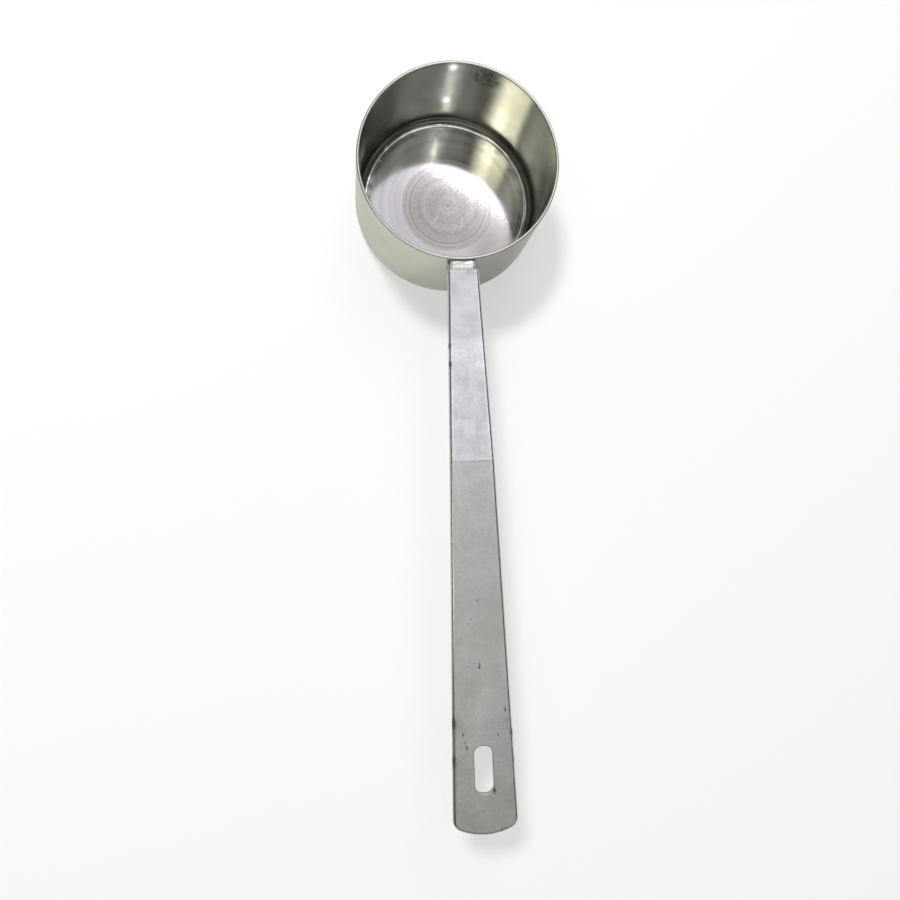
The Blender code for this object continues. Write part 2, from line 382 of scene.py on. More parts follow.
# Olive inside with fine polishing marks
olive = blend(tree, ease(tree, clouds, 0.3, 0.7), DEEP_OLIVE, PALE_OLIVE)
smudges = grain(tree, stretched(tree, place, (1, 1, 3)), 260, 4.0, 0.65, 0.5)
olive = blend(tree, ease(tree, smudges, 0.52, 0.70, 0.0, 0.35), olive, OLIVE_SMUDGES)
olive = blend(tree, ease(tree, wall_lines, 0.45, 0.75, 0.0, 0.25), olive, OLIVE_LINES)

# Much the same outside, with painted shade to the right of the handle standing in for the reflected shadow on
# the table
smears = grain(tree, stretched(tree, place, (1, 1, 0.8)), 110, 3.0, 0.6)
outside = blend(tree, ease(tree, smears, 0.3, 0.7), DEEP_OUTSIDE, PALE_OUTSIDE)
outside = blend(tree, ease(tree, wall_lines, 0.45, 0.75, 0.0, 0.35), outside, OUTSIDE_LINES)
painted_shade_by_handle = product(
    tree,
    ease(tree, parts.outputs["X"], -0.006, 0.007),
    ease(tree, parts.outputs["X"], 0.029, 0.014),
    ease(tree, parts.outputs["Y"], -0.012, -0.022, 0.0, 0.8),
)
outside = blend(tree, painted_shade_by_handle, outside, PAINTED_SHADE_BY_HANDLE)
colour = blend(tree, outer_face, olive, outside)

# Lilac bands and a beige side on the floor, and brown-grey rings where it is turned
bands = ease(tree, lines(tree, ring_place, 300, 1.0), 0.42, 0.58)
colour = blend(tree, on_floor, colour, blend(tree, bands, DEEP_LILAC, PALE_LILAC))
beige = ease(tree, far_along(tree, place, BEIGE_WAY), 0.010, 0.020)
colour = blend(tree, product(tree, beige, unrubbed, on_floor), colour, BEIGE)
brown = blend(tree, ease(tree, broad_rings, 0.3, 0.7), DEEP_BROWN, PALE_BROWN)
brown = blend(tree, ease(tree, speckle, 0.45, 0.62, 0.0, 0.45), brown, BROWN_SPECKLE)
brown = blend(tree, ease(tree, fine_rings, 0.52, 0.72, 0.0, 0.25), brown, BROWN_RINGS)
colour = blend(tree, turned, colour, brown)
for ring, tint, half_width, share in TURNED_RINGS:
    line = apart(tree, ring_place, ring + RING_WOBBLE / 2)
    line = ease(tree, line, half_width, half_width * 0.3, 0.0, share)
    colour = blend(tree, product(tree, on_floor, line, unrubbed), colour, tint)

# Two short bright scratches cross the rings
for start, end in SCRATCHES:
    span = math.dist(start, end)
    way = ((end[0] - start[0]) / span, (end[1] - start[1]) / span)
    middle = ((start[0] + end[0]) / 2, (start[1] + end[1]) / 2, 0)
    from_middle = shifted(tree, place, middle)
    beside = maths(tree, "ABSOLUTE", far_along(tree, from_middle, (way[1], -way[0], 0)))
    past = maths(tree, "ABSOLUTE", far_along(tree, from_middle, (way[0], way[1], 0)))
    scratch = ease(tree, beside, SCRATCH_HALF_WIDTH, 0.00008, 0.0, 0.6)
    scratch = product(tree, scratch, ease(tree, past, span / 2, span / 2 - 0.0004), on_floor)
    colour = blend(tree, scratch, colour, SCRATCHED)

# Painted shade darkens the bend round the floor in places, less at the back right, the ground rim is greyer,
# and a painted dark reflection blots the far wall near the rim
painted_shade_in_bend = product(
    tree,
    ease(tree, radius, 0.0258, 0.0264),
    ease(tree, radius, 0.0300, 0.0290),
    ease(tree, grain(tree, place, 170, 2.0), 0.40, 0.56),
    ease(tree, far_along(tree, place, BACK_RIGHT_WAY), 0.000, 0.022, 0.90, 0.50),
    in_cup,
)
colour = blend(tree, painted_shade_in_bend, colour, PAINTED_SHADE_IN_BEND)
rim = ease(tree, height, CUP_HEIGHT - 0.0005, CUP_HEIGHT - 0.0002)
rim = product(tree, rim, ease(tree, clouds, 0.3, 0.7, 0.25, 0.75))
colour = blend(tree, rim, colour, GROUND_RIM)
stain_and_dark_reflection = product(
    tree,
    ease(tree, distance(tree, place, DARK_REFLECTION_PLACE), 0.0065, 0.0030),
    ease(tree, grain(tree, place, 800, 2.0), 0.42, 0.58, 0.15, 0.75),
    in_cup,
)
colour = blend(tree, stain_and_dark_reflection, colour, PAINTED_DARK_REFLECTION)

# Painted highlights: two spots on the far wall and one on the floor are paled where the small bulbs glint,
# with a dull patch between
glint_spots = 0.0
for spot, size in GLINT_SPOTS:
    glint_spots = total(tree, ease(tree, distance(tree, place, spot), size, size * 0.3), glint_spots)
glint_spots = product(tree, glint_spots, in_cup)
colour = blend(tree, product(tree, glint_spots, 0.8), colour, PAINTED_GLINT)
dull = product(tree, ease(tree, distance(tree, place, DULL_PLACE), 0.0034, 0.0012), in_cup)
colour = blend(tree, product(tree, dull, 0.6), colour, DULLED)

# The floor and the glint spots are smoothest, and the outside and the underside are dullest
rough = total(
    tree,
    ease(tree, clouds, 0.3, 0.7, 0.09, 0.13),
    product(tree, wall_lines, 0.03),
    product(tree, on_wall, 0.07),
    product(tree, on_floor, -0.03),
    product(tree, glint_spots, ease(tree, on_floor, 0, 1, -0.11, -0.05)),
    product(tree, dull, 0.12),
    product(tree, on_outside, 0.16),
    product(tree, under, 0.16),
)

# Turned rings on the floor and underside, lines round the wall, specks, and shallow waves all over
waved = total(tree, height, product(tree, wobble, 0.0025))
broad_lines = product(tree, lines(tree, waved, 480, 2.0), ease(tree, height, 0.003, 0.010), 3.0)
waves = grain(tree, stretched(tree, place, (1, 1, 0.35)), 75, 1.0)
waves = product(tree, waves, ease(tree, on_floor, 0, 1, 1.0, 0.1))
surface = embossed(tree, product(tree, total(tree, turned, under), fine_rings), 0.05, 0.00005)
surface = embossed(tree, total(tree, wall_lines, broad_lines), 0.14, 0.00003, surface)
surface = embossed(tree, product(tree, on_floor, speckle), 0.10, 0.00002, surface)
surface = embossed(tree, waves, 0.4, 0.0003, surface)
finish_steel(tree, shader, colour, rough, surface)
cup.data.materials.append(cup_steel)
finish_part(cup, "cup")


# Handle
# One strip of 2 mm stainless steel, stamped to shape with its hanging slot, then folded in a press:
# a short tab lies down the cup's wall, and a slight crease lets the grip fall towards its tip.
# Its edges are tumbled round and its faces are left satin.

STRAP_SHEET = 0.0020
EDGE_ROUNDING = 0.0009
NECK_WIDTH = 0.0098
CREASE_WIDTH = 0.0136
END_WIDTH = 0.0196
END_ARC = 0.0190
END_CORNER = 0.0036
TAB_LENGTH = 0.0130
TAB_FOOT_WIDTH = 0.0064
TAB_CORNER = 0.0020
TAB_TOP_RADIUS = 0.0028
SLOT_WIDTH = 0.0056
SLOT_LENGTH = 0.0141
SLOT_CORNER = 0.0023
SLOT_ROUNDING = 0.00025
SLOT_TO_TIP = 0.0122
GAP = 0.0003
BELOW_RIM = 0.0005
WALL_TO_CREASE = 0.0614
CREASE_TO_TIP = 0.1111
CREASE_RADIUS = 0.0110
RISE = math.radians(1.5)
DROOP = math.radians(2.5)
FOLD_STEPS = 14
CREASE_STEPS = 3
TIP_CORNER_STEPS = 14
TIP_ARC_STEPS = 16
TAB_CORNER_STEPS = 6
TAB_CORNER_START = math.radians(8)
TAB_COLUMNS = (-0.125, 0.0, 0.125)
SLOT_CORNER_STEPS = 8
SLOT_ROUNDING_STEPS = 3
EDGE_STEPS = 5
EDGE_ANGLE = math.radians(50)
FINE_CUT = 0.0000005
HAIR = 0.000001

hug_radius = CUP_RADIUS + GAP + STRAP_SHEET / 2
fold_turn = math.pi / 2 - RISE
fold_length = TAB_TOP_RADIUS * fold_turn
crease_length = CREASE_RADIUS * (RISE + DROOP)
fold_reach = GAP + STRAP_SHEET / 2 + TAB_TOP_RADIUS * (1 - math.sin(RISE))
inner_run = (WALL_TO_CREASE - fold_reach) / math.cos(RISE) - crease_length / 2
fold_end = TAB_LENGTH + fold_length
crease_start = fold_end + inner_run
crease_middle = crease_start + crease_length / 2
strap_end = crease_middle + CREASE_TO_TIP
tab_foot = CUP_HEIGHT - BELOW_RIM - (STRAP_SHEET / 2 + TAB_TOP_RADIUS) * math.cos(RISE) - TAB_LENGTH


def extrude_to(level, width_ratio=1.0):
    """Draw the selected end of a flat strip up to a level and widen it."""
    shape = bmesh.from_edit_mesh(bpy.context.object.data)
    now = max(corner.co.z for corner in shape.verts)
    bpy.ops.mesh.extrude_region_move(TRANSFORM_OT_translate={"value": (0, 0, level - now)})
    bpy.ops.transform.resize(value=(width_ratio, 1, 1), center_override=(0, 0, level))


def trim(part, zone, centre, reach, way):
    """Cut off what lies outside an arc's tangent, for faces in a zone of a flat strip."""
    pick(part, "FACE", zone)
    bpy.ops.mesh.bisect(
        plane_co=(centre[0] + reach * way[0], 0, centre[1] + reach * way[1]),
        plane_no=(way[0], 0, way[1]),
        clear_outer=True,
        threshold=FINE_CUT,
    )


def at_tip(place):
    """Whether a place on the flat strip is in its rounded tip."""
    return place.z > corner_level - NEAR


def in_tab(place):
    """Whether a place on the flat strip is in its tab."""
    return place.z < TAB_LENGTH + NEAR


def bend_over(start, run, turn, steps):
    """Bend lines over a run of the strap, with their turns. The first and last turn half as far."""
    shares = [0.5 if step in (0, steps) else 1.0 for step in range(steps + 1)]
    return [(start + run * step / steps, turn / steps * share) for step, share in enumerate(shares)]


# The flat blank stands on its tab's foot, in the plane y = 0
bpy.ops.object.select_all(action="DESELECT")
bpy.ops.mesh.primitive_plane_add(size=1, rotation=(math.pi / 2, 0, 0), location=(0, 0, TAB_LENGTH / 2))
strap = bpy.context.object
strap.name = "strap_handle"
strap.scale = (TAB_FOOT_WIDTH, TAB_LENGTH, 1)
bpy.ops.object.transform_apply(location=True, rotation=True, scale=True)
start_shaping(strap)
pick(strap, "EDGE", lambda place: place.z > TAB_LENGTH - NEAR)
bpy.ops.transform.resize(value=(NECK_WIDTH / TAB_FOOT_WIDTH, 1, 1), center_override=(0, 0, TAB_LENGTH))
for step in range(FOLD_STEPS):
    extrude_to(TAB_LENGTH + fold_length * (step + 1) / FOLD_STEPS)
widen = (CREASE_WIDTH / NECK_WIDTH - 1) / (crease_middle - fold_end)
width_before = NECK_WIDTH
for step in range(CREASE_STEPS + 1):
    level = crease_start + crease_length * step / CREASE_STEPS
    width = NECK_WIDTH * (1 + widen * (level - fold_end))
    extrude_to(level, width / width_before)
    width_before = width
half_core = END_WIDTH / 2 - END_CORNER
corner_level = strap_end - END_ARC + math.sqrt((END_ARC - END_CORNER) ** 2 - half_core ** 2)
extrude_to(corner_level, END_WIDTH / width_before)
extrude_to(strap_end)

# The tip is trimmed round by straight cuts, each along a tangent of its outline
corner_turn = math.acos(half_core / (END_ARC - END_CORNER))
for step in range(TIP_CORNER_STEPS):
    turn = corner_turn * (step + 0.5) / TIP_CORNER_STEPS
    for side in (-1, 1):
        way = (side * math.cos(turn), math.sin(turn))
        trim(strap, at_tip, (side * half_core, corner_level), END_CORNER, way)
for step in range(TIP_ARC_STEPS):
    turn = corner_turn + (math.pi / 2 - corner_turn) * (step + 0.5) / TIP_ARC_STEPS
    for side in (-1, 1):
        way = (side * math.cos(turn), math.sin(turn))
        trim(strap, at_tip, (0.0, strap_end - END_ARC), END_ARC, way)

# The tab's two lower corners are trimmed the same way
foot_core = TAB_FOOT_WIDTH / 2 - TAB_CORNER
for step in range(TAB_CORNER_STEPS):
    turn = TAB_CORNER_START + (math.pi / 2 - TAB_CORNER_START) * (step + 0.5) / TAB_CORNER_STEPS
    for side in (-1, 1):
        way = (side * math.cos(turn), -math.sin(turn))
        trim(strap, in_tab, (side * foot_core, TAB_CORNER), TAB_CORNER, way)

# Lines down the fold and the tab let them close round the wall
for share in TAB_COLUMNS:
    lean = (NECK_WIDTH - TAB_FOOT_WIDTH) / TAB_LENGTH * share
    pick(strap, "FACE", lambda place: TAB_LENGTH - NEAR < place.z < fold_end + NEAR)
    bpy.ops.mesh.bisect(plane_co=(NECK_WIDTH * share, 0, 0), plane_no=(1, 0, 0))
    pick(strap, "FACE", in_tab)
    bpy.ops.mesh.bisect(plane_co=(NECK_WIDTH * share, 0, TAB_LENGTH), plane_no=(1, 0, -lean))
bpy.ops.object.mode_set(mode="OBJECT")
apply_modifier(strap, "SOLIDIFY", thickness=STRAP_SHEET, offset=0.0)

# The hanging slot is punched by a block with rounded corners
bpy.ops.object.select_all(action="DESELECT")
bpy.ops.mesh.primitive_cube_add(size=1, location=(0, 0, strap_end - SLOT_TO_TIP - SLOT_LENGTH / 2))
punch = bpy.context.object
punch.scale = (SLOT_WIDTH, STRAP_SHEET * 5, SLOT_LENGTH)
bpy.ops.object.transform_apply(location=True, rotation=False, scale=True)
start_shaping(punch)
pick_edges(punch, lambda start, end: abs(start.y - end.y) > STRAP_SHEET)
bpy.ops.mesh.bevel(offset=SLOT_CORNER, segments=SLOT_CORNER_STEPS, profile=0.5, affect="EDGES")
bpy.ops.object.mode_set(mode="OBJECT")
apply_modifier(strap, "BOOLEAN", operation="DIFFERENCE", object=punch, solver="EXACT")
bpy.data.objects.remove(punch)
start_shaping(strap)
slot_foot = strap_end - SLOT_TO_TIP - SLOT_LENGTH - NEAR
slot_top = strap_end - SLOT_TO_TIP + NEAR
pick_edges(
    strap,
    lambda start, end: max(abs(start.x), abs(end.x)) < SLOT_WIDTH / 2 + NEAR
    and min(start.z, end.z) > slot_foot
    and max(start.z, end.z) < slot_top
    and start.y * end.y > 0,
)
bpy.ops.mesh.bevel(offset=SLOT_ROUNDING, segments=SLOT_ROUNDING_STEPS, profile=0.5, affect="EDGES")
bpy.ops.object.mode_set(mode="OBJECT")

# The tab is curved to the wall, and the curve dies away over the fold
hug = strap.vertex_groups.new(name="hug")
for corner in strap.data.vertices:
    share = 1 - min(max((corner.co.z - TAB_LENGTH) / fold_length, 0.0), 1.0)
    if share:
        hug.add([corner.index], share * share * (3 - 2 * share), "REPLACE")
apply_modifier(
    strap,
    "SIMPLE_DEFORM",
    deform_method="BEND",
    deform_axis="Z",
    angle=END_WIDTH / hug_radius,
    vertex_group="hug",
)
strap.vertex_groups.clear()

# The press folds all that lies above each bend line outwards, from the tab up. What lies on the line
# turns half as far, so both faces keep their distance.
flat_levels = [corner.co.z for corner in strap.data.vertices]
start_shaping(strap)
bpy.ops.mesh.select_mode(type="VERT")
bpy.ops.mesh.select_all(action="SELECT")
bpy.ops.transform.translate(value=(0, -hug_radius, tab_foot))
bend_lines = bend_over(TAB_LENGTH, fold_length, fold_turn, FOLD_STEPS)
bend_lines += bend_over(crease_start, crease_length, RISE + DROOP, CREASE_STEPS)
bend = Vector((0, -hug_radius, tab_foot))
heading = math.pi / 2
level_before = 0.0
for level, turn in bend_lines:
    bend += (level - level_before) * Vector((0, -math.cos(heading), math.sin(heading)))
    for reach in (HAIR, -HAIR):
        bpy.ops.mesh.select_all(action="DESELECT")
        shape = bmesh.from_edit_mesh(strap.data)
        shape.verts.ensure_lookup_table()
        for corner, flat_level in zip(shape.verts, flat_levels):
            corner.select_set(flat_level > level - reach)
        shape.select_flush_mode()
        bmesh.update_edit_mesh(strap.data)
        bpy.ops.transform.rotate(value=-turn / 2, orient_axis="X", center_override=bend)
    heading -= turn
    level_before = level
bpy.ops.object.mode_set(mode="OBJECT")
apply_modifier(
    strap,
    "BEVEL",
    width=EDGE_ROUNDING,
    segments=EDGE_STEPS,
    limit_method="ANGLE",
    angle_limit=EDGE_ANGLE,
    use_clamp_overlap=False,
)

# Tints of the strap's steel, and painted shade and highlight on it
COOL_STEEL = (0.70, 0.695, 0.735, 1)
WARM_STEEL = (0.80, 0.795, 0.785, 1)
MOTTLED = (0.61, 0.605, 0.62, 1)
PATCHED = (0.75, 0.745, 0.77, 1)
COOL_STAIN = (0.62, 0.62, 0.645, 1)
WARM_STAIN = (0.655, 0.64, 0.612, 1)
GREY_NECK = (0.56, 0.55, 0.565, 1)
PALE_BAND = (0.84, 0.83, 0.88, 1)
GRAINED = (0.54, 0.535, 0.55, 1)
WARM_PATCH = (0.60, 0.565, 0.53, 1)
COOL_PATCH = (0.60, 0.605, 0.655, 1)
HAIRLINES = (0.46, 0.45, 0.46, 1)
SCUFFED = (0.93, 0.93, 0.94, 1)
PAINTED_EDGE_SHADE = (0.22, 0.22, 0.21, 1)
CREASE_HIGHLIGHT = (0.90, 0.90, 0.92, 1)
CREASE_SHADE = (0.40, 0.395, 0.41, 1)
PITTED = (0.11, 0.105, 0.11, 1)

# Where things lie along the strap, as Y unless the name says otherwise
CRUSHED_START = -0.0350
CRUSHED_HEIGHT = 0.0400
NECK_END = -0.0555
PALE_MIDDLE = -0.0605
SCUFF_MIDDLE = -0.0775
SCUFF_WAY = (1, 0.143, 0)
SCUFF_REACH = -0.00858
CREASE_HIGHLIGHT_LINE = -0.0925
CREASE_SHADE_LINE = -0.0932
HAIRLINES_MIDDLE = -0.1745
SLOT_MIDDLE = (0, -0.18455, 0)
WIDENING = {"From Min": -0.040, "From Max": -0.195, "To Min": NECK_WIDTH / 2, "To Max": END_WIDTH / 2}

# Marks on the strap, each with its place and size: pits in its face and nicks along its edges
PITS = (
    ((-0.0001, -0.1347, 0.0407), 0.0006),
    ((-0.0023, -0.1402, 0.0404), 0.0006),
    ((-0.0002, -0.1540, 0.0398), 0.0010),
    ((-0.0059, -0.1740, 0.0390), 0.0008),
    ((0.0046, -0.1746, 0.0389), 0.0008),
    ((-0.0049, -0.1778, 0.0388), 0.0008),
    ((0.0047, -0.2026, 0.0377), 0.0009),
    ((-0.0053, -0.1762, 0.0389), 0.0006),
    ((0.0070, -0.1672, 0.0392), 0.0010),
    ((0.0074, -0.1702, 0.0391), 0.0008),
)
NICKS = (
    ((-0.0052, -0.0580, 0.0412), 0.0011),
    ((-0.0054, -0.0638, 0.0414), 0.0011),
    ((-0.0089, -0.1703, 0.0388), 0.0024),
    ((-0.0093, -0.1817, 0.0383), 0.0024),
    ((0.0090, -0.1742, 0.0386), 0.0016),
    ((0.0094, -0.1820, 0.0383), 0.0014),
    ((0.0028, -0.1908, 0.0383), 0.0011),
)

strap_steel, tree, shader, place = new_steel("tumbled_strap_steel")
parts = node(tree, "ShaderNodeSeparateXYZ", {0: place})
across, along = parts.outputs["X"], parts.outputs["Y"]
fine = grain(tree, place, 1100, 3.0, 0.7)
mottle = grain(tree, place, 230, 4.0, 0.6)
patches = grain(tree, stretched(tree, place, (1.0, 0.45, 1.0)), 85, 3.0, 0.5)
streaks = grain(tree, stretched(tree, place, (1.0, 0.06, 1.0)), 900, 3.0, 0.6)
scuffs = grain(tree, place, 620, 3.0, 0.75, 0.6)
flecks = grain(tree, place, 2300, 1.0)

# A pit has a sharp flecked edge, and a nick a soft ragged one
marks = 0.0
for spots, ragged, share, outer, inner, depth in (
    (PITS, flecks, 1.6, 1.20, 0.80, 0.9),
    (NICKS, scuffs, 0.9, 1.15, 0.45, 1.0),
):
    for spot, size in spots:
        off_spot = distance(tree, place, spot, (1, 0.5, 0.2))
        off_spot = total(tree, off_spot, product(tree, ragged, size * share))
        marks = maths(tree, "MAXIMUM", ease(tree, off_spot, size * outer, size * inner, 0.0, depth), marks)

# A slanting line of bright dashes runs to the crease right of the middle, and the fold is crushed rough
dashes = grain(tree, stretched(tree, place, (1.0, 0.6, 1.0)), 1700, 1.0, 0.6)
scuffed = product(
    tree,
    ease(tree, apart(tree, along, SCUFF_MIDDLE), 0.0165, 0.0125),
    ease(tree, apart(tree, far_along(tree, place, SCUFF_WAY), SCUFF_REACH), 0.0022, 0.0007),
    ease(tree, dashes, 0.54, 0.60),
)
crushed = product(
    tree,
    ease(tree, along, CRUSHED_START - 0.0015, CRUSHED_START),
    ease(tree, parts.outputs["Z"], CRUSHED_HEIGHT - 0.0015, CRUSHED_HEIGHT),
    ease(tree, scuffs, 0.42, 0.60),
)

# Satin steel, cool by the cup and warmer towards the tip, with a grey neck and a pale band beyond it
colour = blend(tree, ease(tree, along, -0.120, -0.195), COOL_STEEL, WARM_STEEL)
colour = blend(tree, ease(tree, mottle, 0.35, 0.68, 0.0, 0.22), colour, MOTTLED)
colour = blend(tree, ease(tree, patches, 0.40, 0.62, 0.0, 0.15), colour, PATCHED)
stain_and_dark_reflection = blend(tree, ease(tree, grain(tree, place, 260, 2.0), 0.42, 0.58), COOL_STAIN, WARM_STAIN)
colour = blend(tree, ease(tree, along, -0.090, -0.150, 0.08, 0.40), colour, stain_and_dark_reflection)
colour = blend(tree, ease(tree, along, NECK_END - 0.0025, NECK_END, 0.0, 0.6), colour, GREY_NECK)
pale = ease(tree, apart(tree, along, PALE_MIDDLE), 0.0060, 0.0035, 0.0, 0.6)
colour = blend(tree, pale, colour, PALE_BAND)
colour = blend(tree, ease(tree, fine, 0.40, 0.64, 0.0, 0.42), colour, GRAINED)

# The punched wall of the slot has painted shade. Its outline is a small block grown by the corner's radius.
core = (SLOT_WIDTH / 2 - SLOT_CORNER, SLOT_LENGTH / 2 - SLOT_CORNER, 1)
off_slot = shifted(tree, place, SLOT_MIDDLE)
off_slot = node(tree, "ShaderNodeVectorMath", {0: off_slot}, operation="ABSOLUTE").outputs[0]
off_slot = shifted(tree, off_slot, core)
off_slot = node(tree, "ShaderNodeVectorMath", {0: off_slot, 1: (0, 0, 0)}, operation="MAXIMUM").outputs[0]
slot_wall_shade = ease(tree, distance(tree, off_slot), SLOT_CORNER + 0.00022, SLOT_CORNER + 0.00005, 0.0, 0.7)
colour = blend(tree, slot_wall_shade, colour, PAINTED_EDGE_SHADE)

# Warm and cool patches at the far end, fine lines across it before the slot, and the scuffed dashes
broad = grain(tree, place, 85, 3.0, 0.6)
far_end = ease(tree, along, -0.100, -0.150)
colour = blend(tree, product(tree, ease(tree, broad, 0.50, 0.60, 0.0, 0.40), far_end), colour, WARM_PATCH)
colour = blend(tree, product(tree, ease(tree, broad, 0.48, 0.38, 0.0, 0.40), far_end), colour, COOL_PATCH)
hairlines = product(
    tree,
    ease(tree, lines(tree, along, 2600, 2.0), 0.5, 0.62),
    ease(tree, mottle, 0.45, 0.55, 0.0, 0.4),
    ease(tree, apart(tree, along, HAIRLINES_MIDDLE), 0.0050, 0.0025),
)
colour = blend(tree, hairlines, colour, HAIRLINES)
colour = blend(tree, ease(tree, scuffed, 0, 1, 0.0, 0.6), colour, SCUFFED)

# The left edge has painted shade towards the tip, and the crease has a painted highlight line and a painted
# shade line
half_width = node(tree, "ShaderNodeMapRange", {"Value": along, **WIDENING}).outputs["Result"]
left_edge_shade = product(
    tree,
    ease(tree, total(tree, across, half_width), 0.0013, 0.0006),
    ease(tree, along, -0.130, -0.175, 0.15, 0.65),
)
colour = blend(tree, left_edge_shade, colour, PAINTED_EDGE_SHADE)
crease_light = product(
    tree,
    ease(tree, apart(tree, along, CREASE_HIGHLIGHT_LINE), 0.00035, 0.00010, 0.0, 0.45),
    ease(tree, across, -0.001, 0.003),
)
colour = blend(tree, crease_light, colour, CREASE_HIGHLIGHT)
crease_light = ease(tree, apart(tree, along, CREASE_SHADE_LINE), 0.00040, 0.00010, 0.0, 0.35)
colour = blend(tree, crease_light, colour, CREASE_SHADE)
colour = blend(tree, marks, colour, PITTED)

# The rounded edges are smoother than the faces
from_side = maths(tree, "SUBTRACT", half_width, maths(tree, "ABSOLUTE", across))
rough = total(
    tree,
    ease(tree, mottle, 0.3, 0.7, 0.33, 0.41),
    ease(tree, patches, 0.35, 0.65, -0.01, 0.02),
    product(tree, ease(tree, streaks, 0.5, 0.8), 0.06),
    product(tree, scuffed, 0.05),
    product(tree, marks, 0.2),
    ease(tree, from_side, EDGE_ROUNDING + 0.0003, EDGE_ROUNDING * 0.5, 0.0, -0.20),
)
relief = total(
    tree,
    product(tree, fine, 1.1),
    product(tree, mottle, 0.4),
    product(tree, streaks, 0.35),
    product(tree, marks, -1.5),
    product(tree, scuffed, -0.4),
    product(tree, crushed, 1.4),
)
finish_steel(tree, shader, colour, rough, embossed(tree, relief, 0.35, 0.00008))
strap.data.materials.append(strap_steel)
finish_part(strap, "handle")


# Weld beads
# One bead of melted steel fills the groove between the rim's outer side and the handle's fold, and
# is dressed nearly flush. A shorter one under the tab's foot holds its lower end to the wall.

TOP_BEAD_LENGTH = 0.0080
TOP_BEAD_REACH = CUP_RADIUS + 0.0015
FOOT_BEAD_LENGTH = 0.0048
FOOT_BEAD_REACH = CUP_RADIUS + 0.0004
FOOT_BEAD_RISE = 0.0001
GROOVE_RISE = 0.0030
BEAD_RADIUS = 0.001
BEAD_SIDES = 32
BEAD_FLATTENING = (0.75, 2.2, 1.0)
FOOT_BEAD_FLATTENING = (FOOT_BEAD_LENGTH / TOP_BEAD_LENGTH, 0.6, 1.5)
BEAD_RIPPLES = 12
RIPPLE_SIZES = (0.97, 1.0, 1.02, 1.0)
END_SIZE = 0.2
TOE_RADIUS = 0.0328
FOOT_TOP = 0.0335

bpy.ops.object.select_all(action="DESELECT")
bpy.ops.mesh.primitive_cylinder_add(
    vertices=BEAD_SIDES,
    radius=BEAD_RADIUS,
    depth=TOP_BEAD_LENGTH,
    end_fill_type="NGON",
    rotation=(0, math.pi / 2, 0),
)
bead = bpy.context.object
bead.name = "weld_bead_over_fold"
bead.scale = BEAD_FLATTENING
bpy.ops.object.transform_apply(location=False, rotation=True, scale=True)
start_shaping(bead)
pick_edges(bead, lambda start, end: abs(start.x - end.x) > TOP_BEAD_LENGTH / 2)

# Each ripple has four rings, and the bead's ends are drawn in round
bead_rings = BEAD_RIPPLES * len(RIPPLE_SIZES)
bpy.ops.mesh.subdivide(number_cuts=bead_rings - 1)
for ring in range(bead_rings + 1):
    across = TOP_BEAD_LENGTH * (ring / bead_rings - 0.5)
    from_middle = abs(2 * ring / bead_rings - 1)
    size = (1 - from_middle ** 8) ** 0.5 * (1 - END_SIZE) + END_SIZE
    size *= RIPPLE_SIZES[ring % len(RIPPLE_SIZES)]
    pick(bead, "VERT", lambda place: abs(place.x - across) < NEAR / 2)
    bpy.ops.transform.resize(value=(1, size, size), center_override=(across, 0, 0))
bpy.ops.object.mode_set(mode="OBJECT")

# The foot's bead is a shorter, thicker copy, and both are curved to the wall
choose(bead)
bpy.ops.object.duplicate(linked=False)
foot_bead = bpy.context.object
foot_bead.name = "weld_bead_under_foot"
start_shaping(foot_bead)
bpy.ops.mesh.select_all(action="SELECT")
bpy.ops.transform.resize(value=FOOT_BEAD_FLATTENING, center_override=(0, 0, 0))
bpy.ops.object.mode_set(mode="OBJECT")
for part, length, reach, level in (
    (bead, TOP_BEAD_LENGTH, TOP_BEAD_REACH, tab_foot + TAB_LENGTH + GROOVE_RISE),
    (foot_bead, FOOT_BEAD_LENGTH, FOOT_BEAD_REACH, tab_foot + FOOT_BEAD_RISE),
):
    apply_modifier(part, "SIMPLE_DEFORM", deform_method="BEND", deform_axis="Z", angle=length / reach)
    start_shaping(part)
    bpy.ops.mesh.select_all(action="SELECT")
    bpy.ops.transform.translate(value=(0, -reach, level))
    bpy.ops.mesh.normals_make_consistent(inside=False)
    bpy.ops.object.mode_set(mode="OBJECT")

# Tints of the weld: straw and blue from its heat, paler where it is dressed, dark along its toe
WELD_WHITE = (0.92, 0.91, 0.89, 1)
WELD_STRAW = (0.76, 0.71, 0.64, 1)
WELD_BLUE = (0.45, 0.45, 0.50, 1)
DRESSED_LILAC = (0.84, 0.835, 0.87, 1)
DRESSED_WHITE = (0.96, 0.95, 0.93, 1)
WELD_TOE = (0.40, 0.39, 0.40, 1)
FOOT_GREY = (0.50, 0.495, 0.50, 1)

weld_steel, tree, shader, place = new_steel("weld_steel")
parts = node(tree, "ShaderNodeSeparateXYZ", {0: place})
across, height = parts.outputs["X"], parts.outputs["Z"]
off_rim = distance(tree, place, scale=(1, 1, 0))
tint = grain(tree, place, 420, 3.0)
crust = grain(tree, place, 1800, 3.0, 0.7)
ripple = lines(tree, across, 1300, 2.0)
colour = blend(tree, ease(tree, tint, 0.48, 0.66), WELD_WHITE, WELD_STRAW)
colour = blend(tree, ease(tree, tint, 0.62, 0.74), colour, WELD_BLUE)
dressed = blend(tree, ease(tree, crust, 0.50, 0.62), DRESSED_LILAC, DRESSED_WHITE)
colour = blend(tree, ease(tree, off_rim, TOE_RADIUS - 0.0001, TOE_RADIUS + 0.0001), colour, dressed)
toe = ease(tree, apart(tree, off_rim, TOE_RADIUS), 0.00020, 0.00008, 0.0, 0.45)
colour = blend(tree, toe, colour, WELD_TOE)
colour = blend(tree, ease(tree, height, FOOT_TOP + 0.0015, FOOT_TOP, 0.0, 0.8), colour, FOOT_GREY)
